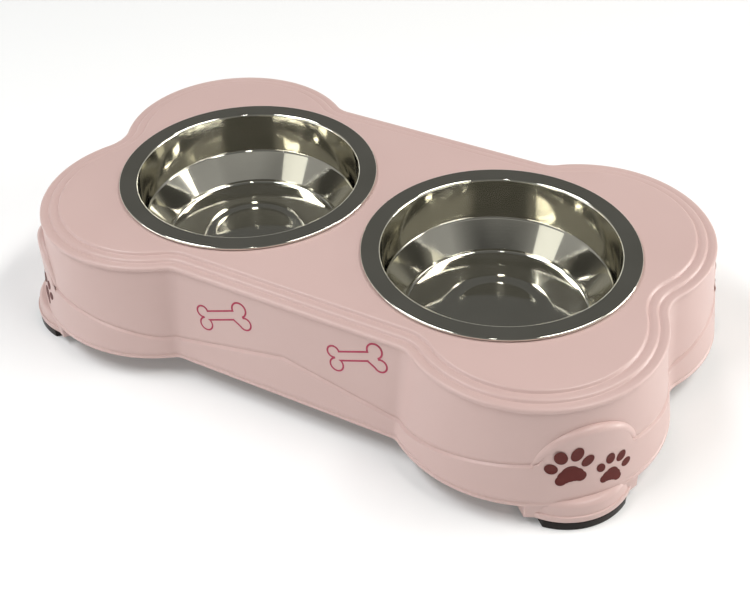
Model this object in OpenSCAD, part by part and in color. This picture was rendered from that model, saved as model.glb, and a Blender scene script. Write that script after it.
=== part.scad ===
// Double pet bowl: a bone-shaped stand that holds two steel bowls by their rims.
// Millimetres, +Z up, origin on the floor under the middle of the stand, +X along its length.

/* [Bowls] */
// Outer diameter of a bowl's rim
rim_d = 135; // [120:0.5:150]
// Height of the rolled edge of the rim
rim_h = 1.6; // [1.4:0.1:2.4]
// Width of the flat rim, out to the bowl's outer diameter
rim_w = 9.6; // [7.5:0.1:13.5]
// Thickness of the steel
bowl_t = 0.8; // [0.6:0.05:1.2]
// Depth from the rim's top to the floor ring
bowl_depth = 38.3; // [32:0.1:44]
// Depth of the shoulder in the wall below the rim's top
shoulder_depth = 22.4; // [16:0.1:26]
// How far the wall leans in from the mouth to the shoulder
shoulder_in = 1.9; // [0.9:0.1:4]
// How far the wall steps in at the shoulder
shoulder_step = 0.6; // [0.3:0.05:1]
// How far the wall leans in from the shoulder to the bottom corner
base_in = 8.9; // [6:0.1:10]
// Width of the bottom corner, in to the flat floor
corner_w = 2; // [1.4:0.1:3.4]
// Height of the bottom corner
corner_h = 1.6; // [1.2:0.1:2.6]
// Diameter of the sunk disc in the floor
disc_d = 44; // [34:0.5:60]
// How far the disc is sunk
disc_drop = 0.8; // [0.4:0.05:1.2]
// Free deck between the two rims
rim_gap = 9.7; // [6:0.1:16]

/* [Stand] */
// Height of the deck above the floor
stand_h = 66.6; // [62:0.1:76]
// Wall thickness of the moulding
wall_t = 2.6; // [2:0.1:3.2]
// Deck between a rim and the deck's edge at the waist
waist_margin = 4.3; // [3:0.1:10]
// Diameter of each of the four lobes at the lip
lobe_d = 122.8; // [112:0.2:134]
// Lobe centre inward of the bowl's outermost point, along the length
lobe_back = 35.8; // [30:0.1:44]
// Lobe centre inward of the waist's lip, across the width
lobe_in = 46.6; // [40:0.1:54]
// Fillet between waist and lobe at the lip
waist_fillet = 13; // [10:0.5:18]
// Fillet between the two lobes of one end at the lip
end_fillet = 19.5; // [14:0.5:26]
// Distance of the deck's edge from the lip
deck_inset = 10.4; // [9.4:0.1:12]
// Distance of the terrace's edge from the lip
terrace_inset = 5.5; // [4.8:0.1:6]
// Run of the slanted risers
riser_run = 1; // [0.8:0.1:2.2]
// Height of the step from the deck to the terrace
terrace_drop = 1.1; // [0.8:0.1:1.6]
// Height of the step from the terrace to the lip
lip_drop = 0.9; // [0.7:0.1:1.4]
// Height of the lip's outer face with its round
lip_h = 2.2; // [1.8:0.1:3]
// Size of the lip's rounded edge
lip_round = 1.2; // [0.8:0.1:1.6]
// Easing of the deck's and the terrace's edges
edge_ease = 0.3; // [0.2:0.05:0.5]
// How far the wall stands back under the lip
wall_inset = 1; // [0.6:0.1:1.6]
// How far the wall spreads from the lip to the skirt's edge
wall_flare = 6.2; // [3:0.1:8]
// Height of the skirt's lower edge above the floor
skirt_gap = 12.2; // [9.5:0.1:16]
// Radial room between a bowl's wall and its hole in the deck
hole_room = 1.8; // [1:0.1:3]
// Depth of the collar round each hole
collar_h = 8; // [5:0.5:14]
// Thickness of the collar and of the web between the holes
rib_t = 2.2; // [1.6:0.1:3]
// Depth of the web between the holes
web_h = 24; // [16:1:30]

/* [Skirt band and panels] */
// How far the band stands out of the wall
band_step = 1; // [0.7:0.1:1.1]
// Height of the band at the ends of the waist, as a share of the wall's height
band_share = 0.225; // [0.16:0.005:0.275]
// Rise of the band's gable at the middle of the waist, as a share of the wall's height
gable_share = 0.215; // [0.08:0.005:0.275]
// Rise of the band's edge from the waist to the corners, as a share of the wall's height
corner_share = 0.241; // [0.211:0.005:0.271]
// Distance from a lobe's axis where the band's edge starts to climb
climb_start = 12; // [2:0.5:24]
// Direction of the corners from the length of the stand
corner_turn = 42.7; // [40:0.1:50]
// Diameter of the upright panels on the corners
panel_d = 130.2; // [129.9:0.1:131]
// How far the panel's sides lie inside the foot's
panel_inset = 0.75; // [0.5:0.05:4]
// Wall between the lip and the top of the arch, as a share of the wall's height
arch_gap_share = 0.179; // [0.099:0.005:0.219]

/* [Feet] */
// Thickness of the rubber pads
pad_h = 4.7; // [3.5:0.1:6]
// Width of a rubber pad
pad_w = 41; // [34:0.5:46]
// How far the pad lies inside the foot's bead
pad_inset = 0.1; // [0:0.1:2]
// Height of the plug on the pad
plug_h = 6; // [4:0.1:8]
// Rubber left round the plug on every side
plug_inset = 5; // [4:0.1:7]
// Gap round the plug in its pocket
plug_fit = 0.1; // [0.05:0.01:0.2]
// Width of a foot
foot_w = 55.5; // [50:0.5:58]
// Distance from the lobe's axis to the foot's inner face
foot_in = 46; // [44:0.5:49]
// How far a foot's sides stand back under the skirt's edge
foot_back = 0.3; // [0.2:0.1:0.8]
// Distance from the lobe's axis to the middle of the foot's swell
swell_out = 40; // [36:0.1:42]
// Diameter of the swell at the sole
swell_d = 65.2; // [62:0.1:70]
// Diameter of the swell at its ledge
ledge_d = 62.2; // [58:0.1:63]
// Height of the ledge's edge above the skirt's edge
ledge_rise = 2; // [1.2:0.1:3]
// How far the ledge falls from the panel to its edge
ledge_fall = 1; // [0.6:0.1:1.6]
// Height of the bead round the sole
bead_h = 3.4; // [1.5:0.1:4]
// How far the bead stands out of the swell
bead_out = 0.3; // [0.2:0.05:0.8]

/* [Printed marks] */
// Thickness of the printed ink
ink_t = 0.2; // [0.12:0.01:0.3]
// Length of a printed bone, as a share of the wall's height
bone_share = 0.6255; // [0.5155:0.01:0.6455]
// Thickness of the bone's shaft, as a share of its length
shaft_share = 0.18; // [0.13:0.005:0.19]
// Width of the printed line
line_w = 0.9; // [0.6:0.05:1.4]
// Tilt of the bones
bone_tilt = 20; // [0:1:30]
// Straight part of the waist that is left beyond the middle of each bone
bone_end = 23; // [22.5:0.5:26]
// Distance of the pair's middle from the middle of the waist
bone_shift = 2.4; // [0:0.1:3]
// Distance of the pair's middle below the lip, as a share of the wall's height
bone_drop_share = 0.299; // [0.279:0.01:0.339]
// Climb of the pair from its first bone to its second, as a share of the wall's height
bone_climb_share = 0.074; // [0:0.002:0.08]
// Width of the larger paw print, as a share of the panel's height over its foot
paw_share = 0.562; // [0.442:0.01:0.592]
// Smaller paw print as a share of the larger one
small_paw_share = 0.79; // [0.7:0.01:0.9]
// Distance of the larger print's middle from the corner's middle, as a share of its width
paw_side_share = 0.418; // [0.398:0.01:0.468]
// The same for the smaller print, as a share of the larger print's width
small_paw_side_share = 0.507; // [0.487:0.01:0.607]
// Height of the larger print's pad over the foot, as a share of the panel's height over it
paw_rise_share = 0.376; // [0.296:0.01:0.396]
// The same for the smaller print's pad
small_paw_rise_share = 0.209; // [0.209:0.004:0.317]
// Lean of the larger print away from the smaller one
paw_lean = 7; // [0:1:12]
// Lean of the smaller print away from the larger one
small_paw_lean = 13; // [0:1:16]

/* [Hidden] */
$fn = 96;

// Overrun of every cut past the face that it goes through
over = 1;
// Air under a rim that rests on the deck
seat_gap = 0.3;
// Air between the ink and a curved wall
ink_gap = 0.02;
// Room above a plug in its pocket
pocket_room = 0.5;
// Run of the slope from the floor ring down to the sunk disc
disc_run = 5 * disc_drop;
// Radius of the bowl's turned edge at the mouth
mouth_ease = 1.1;

// Heights
lip_top = stand_h - terrace_drop - lip_drop;
lip_low = lip_top - lip_h;
rim_top = stand_h + seat_gap + rim_h;
bowl_floor = rim_top - bowl_depth;
sole_z = pad_h;
ledge_z = skirt_gap + ledge_rise;
panel_low = ledge_z + ledge_fall;
wall_h = lip_low - skirt_gap;
arch_gap = arch_gap_share * wall_h;
arch_r = foot_w / 2 - panel_inset;
arch_z = lip_low - arch_gap - arch_r;
band_low = skirt_gap + band_share * wall_h;
gable_rise = gable_share * wall_h;
corner_rise = corner_share * wall_h;

// Plan of the stand
rim_r = rim_d / 2;
mouth_d = rim_d - 2 * rim_w;
shoulder_d = mouth_d - 2 * shoulder_in;
base_d = shoulder_d - 2 * (shoulder_step + base_in);
floor_d = base_d - 2 * corner_w;
lobe_r = lobe_d / 2;
bowl_x = (rim_d + rim_gap) / 2;
waist_y = rim_r + waist_margin + deck_inset;
lobe_x = bowl_x + rim_r - lobe_back;
lobe_y = waist_y - lobe_in;
panel_r = panel_d / 2;
hole_r = mouth_d / 2 + bowl_t + hole_room;

// Centres of the fillets, which stay put when the outline is inset; each circle crosses what it
// joins by a hair, so that no two faces are only tangent
fillet_bite = 0.01;
waist_fillet_y = waist_y + waist_fillet - fillet_bite;
waist_fillet_x = lobe_x - sqrt(
    pow(lobe_r + waist_fillet - fillet_bite, 2) - pow(waist_fillet_y - lobe_y, 2)
);
end_fillet_x = lobe_x + sqrt(pow(lobe_r + end_fillet - fillet_bite, 2) - pow(lobe_y, 2));
plan_reach = end_fillet_x + lobe_r;

// Sizes and places of the prints
bone_l = bone_share * wall_h;
shaft_w = shaft_share * bone_l;
bone_pitch = 2 * (waist_fillet_x - bone_end);
bone_drop = bone_drop_share * wall_h;
bone_climb = bone_climb_share * wall_h;
panel_room = lip_low - arch_gap - panel_low;
paw_w = paw_share * panel_room;
paw_side = paw_side_share * paw_w;
small_paw_side = small_paw_side_share * paw_w;
paw_z = panel_low + paw_rise_share * panel_room;
small_paw_z = panel_low + small_paw_rise_share * panel_room;

// Draft of the walls
wall_slope = wall_flare / wall_h;
wall_angle = atan(wall_slope);
function wall_g(z) = -wall_inset + (lip_low - z) * wall_slope;

// The band's edge over a lobe lies in a plane that climbs towards the corner
corner_slope = corner_rise / (panel_r - climb_start);
corner_z = band_low - climb_start * corner_slope;

// Outlines as [distance out from the lip's outline, height], from the top down
deck_profile = [
    [-deck_inset - edge_ease, stand_h],
    [-deck_inset, stand_h - edge_ease],
    [-deck_inset + riser_run, stand_h - terrace_drop],
    [-terrace_inset - edge_ease, stand_h - terrace_drop],
    [-terrace_inset, stand_h - terrace_drop - edge_ease],
    [-terrace_inset + riser_run, lip_top]
];
lip_profile = [for (a = [90:-30:0]) [lip_round * (cos(a) - 1), lip_top + lip_round * (sin(a) - 1)]];
shell_profile = concat(
    deck_profile,
    lip_profile,
    [[0, lip_low], [-wall_inset, lip_low], [wall_g(skirt_gap), skirt_gap]]
);
cavity_profile = [
    [-deck_inset - wall_t, stand_h - wall_t],
    [-deck_inset - wall_t, lip_top - wall_t],
    [wall_g(lip_top - wall_t) - wall_t, lip_top - wall_t],
    [wall_g(-over) - wall_t, -over]
];
band_top = band_low + max(gable_rise, corner_rise) + over;
band_profile = [
    [wall_g(band_top) + band_step, band_top],
    [wall_g(skirt_gap) + band_step, skirt_gap]
];

// Runs its children at the four lobes, mirrored so that +X points outward along the corner
module at_corner(sx, sy) {
    mirror([sx < 0 ? 1 : 0, 0, 0])
        mirror([0, sy < 0 ? 1 : 0, 0])
            translate([lobe_x, lobe_y, 0])
                rotate([0, 0, corner_turn])
                    children();
}

// What a fillet takes away round its own axis, for an outline given as a profile
module fillet_cut(profile, radius) {
    last = len(profile) - 1;
    rotate_extrude()
        polygon(concat(
            [[0, profile[0].y + over], [radius - profile[0].x, profile[0].y + over]],
            [for (p = profile) [radius - p.x, p.y]],
            [[radius - profile[last].x, profile[last].y - over], [0, profile[last].y - over]]
        ));
}

// Mirrors its children into one quadrant
module in_quadrant(sx, sy) {
    mirror([sx < 0 ? 1 : 0, 0, 0])
        mirror([0, sy < 0 ? 1 : 0, 0])
            children();
}

// One lobe with the fillet that leads from it to the waist
module lobe_block(profile) {
    top = profile[0].y;
    low = profile[len(profile) - 1].y;
    translate([lobe_x, lobe_y, 0])
        rotate_extrude()
            polygon(concat([[0, top]], [for (p = profile) [lobe_r + p.x, p.y]], [[0, low]]));
    difference() {
        translate([0, 0, low])
            linear_extrude(top - low)
                polygon([
                    [waist_fillet_x, lobe_y], [lobe_x, lobe_y],
                    [waist_fillet_x, waist_fillet_y]
                ]);
        translate([waist_fillet_x, waist_fillet_y, 0])
            fillet_cut(profile, waist_fillet);
    }
}

// A solid with the plan of a bone, whose side follows a profile all round
module bone_block(profile) {
    top = profile[0].y;
    low = profile[len(profile) - 1].y;
    for (sx = [-1, 1], sy = [-1, 1])
        in_quadrant(sx, sy) lobe_block(profile);
    translate([-lobe_x, 0, 0])
        rotate([90, 0, 90])
            linear_extrude(2 * lobe_x)
                polygon(concat(
                    [for (p = profile) [waist_y + p.x, p.y]],
                    [for (i = [len(profile) - 1:-1:0]) [-waist_y - profile[i].x, profile[i].y]]
                ));
    for (sx = [-1, 1])
        in_quadrant(sx, 1)
            difference() {
                translate([0, 0, low])
                    linear_extrude(top - low)
                        polygon([[lobe_x, -lobe_y], [end_fillet_x, 0], [lobe_x, lobe_y]]);
                translate([end_fillet_x, 0, 0])
                    fillet_cut(profile, end_fillet);
            }
}

// Everything below the band's edge: level, with a gable over the waist and a climb to each corner
module band_reach() {
    translate([-plan_reach, -plan_reach, 0])
        cube([2 * plan_reach, 2 * plan_reach, band_low]);
    translate([0, plan_reach, 0])
        rotate([90, 0, 0])
            linear_extrude(2 * plan_reach)
                polygon([
                    [-waist_fillet_x, 0], [waist_fillet_x, 0],
                    [waist_fillet_x, band_low], [0, band_low + gable_rise], [-waist_fillet_x, band_low]
                ]);
    for (sx = [-1, 1], sy = [-1, 1])
        intersection() {
            in_quadrant(sx, sy)
                translate([waist_fillet_x, 0, 0])
                    cube([plan_reach, plan_reach, band_top + plan_reach]);
            at_corner(sx, sy)
                translate([0, 0, corner_z])
                    rotate([0, -atan(corner_slope), 0])
                        translate([-2 * plan_reach, -2 * plan_reach, -plan_reach])
                            cube([4 * plan_reach, 4 * plan_reach, plan_reach]);
        }
}

// The arched panel on a corner, in the corner's frame
module corner_panel() {
    intersection() {
        translate([0, 0, skirt_gap])
            cylinder(r = panel_r, h = lip_low - skirt_gap);
        union() {
            translate([foot_in, 0, arch_z])
                rotate([0, 90, 0])
                    cylinder(r = arch_r, h = panel_r);
            translate([foot_in, -arch_r, skirt_gap])
                cube([panel_r, 2 * arch_r, arch_z - skirt_gap]);
        }
    }
}

// The swell of a foot with its ledge and bead, grown or shrunk, in the corner's frame
module foot_swell() {
    translate([swell_out, 0, 0]) {
        translate([0, 0, sole_z])
            cylinder(r1 = swell_d / 2, r2 = ledge_d / 2, h = ledge_z - sole_z);
        translate([0, 0, ledge_z])
            cylinder(r1 = ledge_d / 2, r2 = panel_r - swell_out, h = ledge_fall);
        translate([0, 0, sole_z])
            cylinder(r = swell_d / 2 + bead_out, h = bead_h);
    }
}

// A foot: what the lobe's wall and the swell fill between its two sides
module corner_foot() {
    intersection() {
        union() {
            translate([0, 0, sole_z])
                cylinder(
                    r = lobe_r + wall_g(skirt_gap) + band_step - foot_back,
                    h = skirt_gap + over - sole_z
                );
            translate([0, 0, skirt_gap])
                cylinder(r = panel_r, h = panel_low - skirt_gap);
            foot_swell();
        }
        translate([foot_in, -foot_w / 2, sole_z])
            cube([panel_r, foot_w, panel_low - sole_z]);
    }
}

// Plan of a rubber pad, shrunk on every side, in the corner's frame
module pad_plan(shrink) {
    intersection() {
        translate([swell_out, 0])
            circle(r = swell_d / 2 + bead_out - pad_inset - shrink);
        translate([foot_in + pad_inset + shrink, -pad_w / 2 + shrink])
            square([panel_r, pad_w - 2 * shrink]);
    }
}

// Outer skin of a corner where it is printed, raised by a layer, in the corner's frame
module corner_skin(raise) {
    low = skirt_gap;
    translate([0, 0, low])
        cylinder(r = panel_r + raise, h = lip_low - low);
    translate([0, 0, low])
        cylinder(
            r1 = lobe_r + wall_g(low) + band_step + raise,
            r2 = lobe_r + wall_g(band_top) + band_step + raise,
            h = band_top - low
        );
}

// A round rod that leaves an oval where it passes the panel's face, in the corner's frame
module oval_rod(side, z, r, long, lean) {
    tilt = acos(r / long);
    rotate([0, 0, side / panel_r * 180 / PI])
        translate([panel_r, 0, z])
            rotate([lean, 0, 0])
                rotate([0, 90 - tilt, 0])
                    cylinder(r = r, h = 4 * long, center = true);
}

// One oval of a paw print, from its shares [side, height, half width, half length] of the width;
// a turn of -1 puts it on the other side of the paw
module paw_oval(side, z, width, tilt, turn, shares, lean) {
    x = turn * shares[0] * width;
    y = shares[1] * width;
    oval_rod(
        side + x * cos(tilt) + y * sin(tilt),
        z - x * sin(tilt) + y * cos(tilt),
        shares[2] * width, shares[3] * width,
        -turn * lean - tilt
    );
}

// The rods of one paw print, with the middle of its pad at a place on the panel
module paw(side, z, width, tilt) {
    outer_shares = [0.38, 0.223, 0.121, 0.163];
    inner_shares = [0.168, 0.49, 0.135, 0.19];
    end_shares = [0.205, -0.125, 0.125, 0.125];
    flank_shares = [0.115, -0.05, 0.165, 0.165];
    top_shares = [0, 0, 0.205, 0.205];
    outer_lean = 37;
    inner_lean = 16;
    for (turn = [-1, 1]) {
        paw_oval(side, z, width, tilt, turn, outer_shares, outer_lean);
        paw_oval(side, z, width, tilt, turn, inner_shares, inner_lean);
        paw_oval(side, z, width, tilt, turn, end_shares, 0);
        paw_oval(side, z, width, tilt, turn, flank_shares, 0);
    }
    paw_oval(side, z, width, tilt, 1, top_shares, 0);
}

// The filled outline of a bone, shrunk on every side: a hand-drawn shape, so no two knobs match
module bone_plan(shrink) {
    // Knobs as [along, up, radius], the shaft's middle line and ends, and the slope under one knob
    knob_shares = [
        [-0.37, 0.102, 0.112], [-0.376, -0.112, 0.124],
        [0.352, 0.114, 0.138], [0.381, -0.13, 0.119]
    ];
    shaft_up_share = 0.027;
    shaft_end_share = 0.37;
    slope_shares = [[0.178, -0.062], [0.31, -0.22]];
    for (k = knob_shares)
        translate([k[0] * bone_l, k[1] * bone_l])
            circle(r = k[2] * bone_l - shrink);
    translate([-shaft_end_share * bone_l, shaft_up_share * bone_l - shaft_w / 2 + shrink])
        square([2 * shaft_end_share * bone_l, shaft_w - 2 * shrink]);
    run = slope_shares[1] - slope_shares[0];
    inward = [-run.y, run.x] / norm(run) * shrink;
    polygon([
        slope_shares[0] * bone_l + inward,
        slope_shares[1] * bone_l + inward,
        [knob_shares[3][0] * bone_l, knob_shares[3][1] * bone_l],
        [knob_shares[2][0] * bone_l, knob_shares[2][1] * bone_l]
    ]);
}

module housing() {
    color([0.87, 0.76, 0.73])
        difference() {
            union() {
                difference() {
                    union() {
                        bone_block(shell_profile);
                        intersection() {
                            bone_block(band_profile);
                            band_reach();
                        }
                        for (sx = [-1, 1], sy = [-1, 1])
                            at_corner(sx, sy) corner_panel();
                    }
                    bone_block(cavity_profile);
                }
                for (sx = [-1, 1], sy = [-1, 1])
                    at_corner(sx, sy) corner_foot();
                for (sx = [-1, 1])
                    translate([sx * bowl_x, 0, stand_h - collar_h])
                        cylinder(r = hole_r + rib_t, h = collar_h - wall_t / 2);
                centre_web();
            }
            for (sx = [-1, 1])
                translate([sx * bowl_x, 0, stand_h - collar_h - over])
                    cylinder(r = hole_r, h = collar_h + 2 * over);
            for (sx = [-1, 1], sy = [-1, 1])
                at_corner(sx, sy)
                    translate([0, 0, sole_z - over])
                        linear_extrude(plug_h + pocket_room + over)
                            pad_plan(plug_inset - plug_fit);
        }
}

// The web under the deck between the two holes, let into the deck and the walls
module centre_web() {
    low = stand_h - web_h;
    half = [
        [waist_y + wall_g(low) - wall_t / 2, low],
        [waist_y + wall_g(lip_low) - wall_t / 2, lip_low],
        [waist_y - deck_inset - wall_t / 2, lip_low],
        [waist_y - deck_inset - wall_t / 2, stand_h - wall_t / 2]
    ];
    translate([-rib_t / 2, 0, 0])
        rotate([90, 0, 90])
            linear_extrude(rib_t)
                polygon(concat(half, [for (i = [len(half) - 1:-1:0]) [-half[i].x, half[i].y]]));
}

// One bowl about its own axis
module bowl() {
    rim_mid = rim_top - rim_h / 2;
    shoulder_z = rim_top - shoulder_depth;
    corner_angles = [15, 40, 65];
    inner = concat(
        [
            [0, bowl_floor - disc_drop],
            [disc_d / 2, bowl_floor - disc_drop],
            [disc_d / 2 + disc_run, bowl_floor],
            [floor_d / 2, bowl_floor]
        ],
        [for (a = corner_angles) [floor_d / 2 + corner_w * sin(a), bowl_floor + corner_h * (1 - cos(a))]],
        [
            [base_d / 2, bowl_floor + corner_h],
            [shoulder_d / 2 - shoulder_step, shoulder_z - shoulder_step],
            [shoulder_d / 2, shoulder_z],
            [mouth_d / 2, rim_top - mouth_ease],
            [mouth_d / 2 + mouth_ease, rim_top]
        ]
    );
    outer = concat(
        [
            [0, bowl_floor - disc_drop - bowl_t],
            [disc_d / 2, bowl_floor - disc_drop - bowl_t],
            [disc_d / 2 + disc_run, bowl_floor - bowl_t],
            [floor_d / 2, bowl_floor - bowl_t]
        ],
        [
            for (a = corner_angles)
                [
                    floor_d / 2 + (corner_w + bowl_t) * sin(a),
                    bowl_floor + corner_h - (corner_h + bowl_t) * cos(a)
                ]
        ],
        [
            [base_d / 2 + bowl_t, bowl_floor + corner_h],
            [shoulder_d / 2 - shoulder_step + bowl_t, shoulder_z - shoulder_step],
            [shoulder_d / 2 + bowl_t, shoulder_z],
            [mouth_d / 2 + bowl_t, rim_top - mouth_ease - bowl_t],
            [mouth_d / 2 + mouth_ease + bowl_t, rim_top - bowl_t],
            [rim_r - rim_h / 2, rim_top - bowl_t],
            [rim_r - rim_h / 2, rim_top]
        ]
    );
    color([0.75, 0.75, 0.73])
        rotate_extrude() {
            polygon(concat([for (i = [len(inner) - 1:-1:0]) inner[i]], outer));
            translate([rim_r - rim_h / 2, rim_mid])
                circle(r = rim_h / 2);
        }
}

module bowl_left() {
    translate([-bowl_x, 0, 0]) bowl();
}

module bowl_right() {
    translate([bowl_x, 0, 0]) bowl();
}

// A rubber pad with the plug that holds it in its foot
module foot_pad(sx, sy) {
    color([0.07, 0.07, 0.07])
        at_corner(sx, sy) {
            linear_extrude(pad_h)
                pad_plan(0);
            translate([0, 0, pad_h])
                linear_extrude(plug_h)
                    pad_plan(plug_inset);
        }
}

// The two paw prints on a corner panel, the larger one on the left as seen from outside
module paw_prints(sx, sy) {
    left = -sx * sy;
    color([0.37, 0.15, 0.15])
        at_corner(sx, sy)
            intersection() {
                union() {
                    paw(left * paw_side, paw_z, paw_w, left * paw_lean);
                    paw(
                        -left * small_paw_side, small_paw_z,
                        paw_w * small_paw_share, -left * small_paw_lean
                    );
                }
                difference() {
                    corner_skin(ink_gap + ink_t);
                    corner_skin(ink_gap);
                }
            }
}

// The two outlined bones on a long wall
module bone_prints(side) {
    color([0.75, 0.22, 0.33])
        rotate([0, 0, side < 0 ? 0 : 180])
            for (half = [-0.5, 0.5]) {
                bone_z = lip_low - bone_drop + half * bone_climb;
                translate([bone_shift + half * bone_pitch, -waist_y - wall_g(bone_z), bone_z])
                    rotate([90 - wall_angle, 0, 0])
                        linear_extrude(ink_t)
                            rotate([0, 0, bone_tilt])
                                difference() {
                                    bone_plan(0);
                                    bone_plan(line_w);
                                }
            }
}

module foot_pad_front_left() { foot_pad(-1, -1); }
module foot_pad_front_right() { foot_pad(1, -1); }
module foot_pad_back_left() { foot_pad(-1, 1); }
module foot_pad_back_right() { foot_pad(1, 1); }
module paw_prints_front_left() { paw_prints(-1, -1); }
module paw_prints_front_right() { paw_prints(1, -1); }
module paw_prints_back_left() { paw_prints(-1, 1); }
module paw_prints_back_right() { paw_prints(1, 1); }
module bone_prints_front() { bone_prints(-1); }
module bone_prints_back() { bone_prints(1); }

housing();
bowl_left();
bowl_right();
foot_pad_front_left();
foot_pad_front_right();
foot_pad_back_left();
foot_pad_back_right();
paw_prints_front_left();
paw_prints_front_right();
paw_prints_back_left();
paw_prints_back_right();
bone_prints_front();
bone_prints_back();
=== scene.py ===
"""Dresses a double pet bowl: a bone-shaped moulded stand that holds two steel bowls by their rims.

Every size is in millimetres here and becomes metres when a piece is finished. The stand, its
corner panels and feet, the bowls and the rubber pads are modelled again with soft edges and stand
for their CAD nodes. The printed bones and paws are the CAD nodes themselves.
"""

from __future__ import annotations

import logging
import math
from dataclasses import dataclass
from enum import Enum
from functools import partial
from typing import Any, Callable, Iterable

import bmesh
import bpy
from bmesh.types import BMEdge, BMesh, BMVert
from bpy.types import Material, NodeSocket, NodeTree
from mathutils import Matrix, Vector

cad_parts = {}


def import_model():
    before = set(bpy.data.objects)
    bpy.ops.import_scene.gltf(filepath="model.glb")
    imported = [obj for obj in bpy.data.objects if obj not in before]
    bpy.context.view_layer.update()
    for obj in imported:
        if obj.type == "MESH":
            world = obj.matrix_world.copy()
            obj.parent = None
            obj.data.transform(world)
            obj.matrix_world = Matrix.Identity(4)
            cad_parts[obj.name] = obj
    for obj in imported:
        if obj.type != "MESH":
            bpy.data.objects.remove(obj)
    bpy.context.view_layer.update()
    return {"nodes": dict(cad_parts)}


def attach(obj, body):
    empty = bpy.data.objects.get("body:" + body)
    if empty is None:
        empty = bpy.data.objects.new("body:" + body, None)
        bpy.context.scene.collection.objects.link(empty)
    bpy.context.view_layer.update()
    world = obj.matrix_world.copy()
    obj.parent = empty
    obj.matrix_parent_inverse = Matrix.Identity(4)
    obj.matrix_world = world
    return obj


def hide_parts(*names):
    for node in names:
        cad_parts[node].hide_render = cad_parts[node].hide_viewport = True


log = logging.getLogger("pet_bowls")

MM = 0.001
SHARP = math.radians(32)
CLOSE = 1e-4
ARC_CLOSE = 1e-3
UP = Vector((0, 0, 1))
OUT = Vector((1, 0, 0))
ACROSS = Vector((0, 1, 0))
Colour = tuple[float, float, float, float]
Span = tuple[float, float]


class Corner(Enum):
    """The four corners of the stand, as the signs of their X and Y."""

    FRONT_LEFT = (-1, -1)
    FRONT_RIGHT = (1, -1)
    BACK_LEFT = (-1, 1)
    BACK_RIGHT = (1, 1)

    @property
    def label(self) -> str:
        """The corner's name as the nodes spell it."""
        return self.name.lower()

    def place(self, stand: StandSizes) -> Matrix:
        """Gives the move from the corner's own frame, with X pointing outward, to the stand's.

        Args:
            stand: sizes that say where the lobes are.

        Returns:
            The matrix that carries a piece to this corner.
        """
        lobe = Matrix.Translation((stand.lobe_x, stand.lobe_y, 0))
        turn = Matrix.Rotation(math.radians(stand.corner_turn), 4, "Z")
        return Matrix.Diagonal((*self.value, 1, 1)) @ lobe @ turn


class Side(Enum):
    """The two bowls, as the sign of their X."""

    LEFT = -1
    RIGHT = 1

    @property
    def label(self) -> str:
        """The side's name as the nodes spell it."""
        return self.name.lower()


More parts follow.
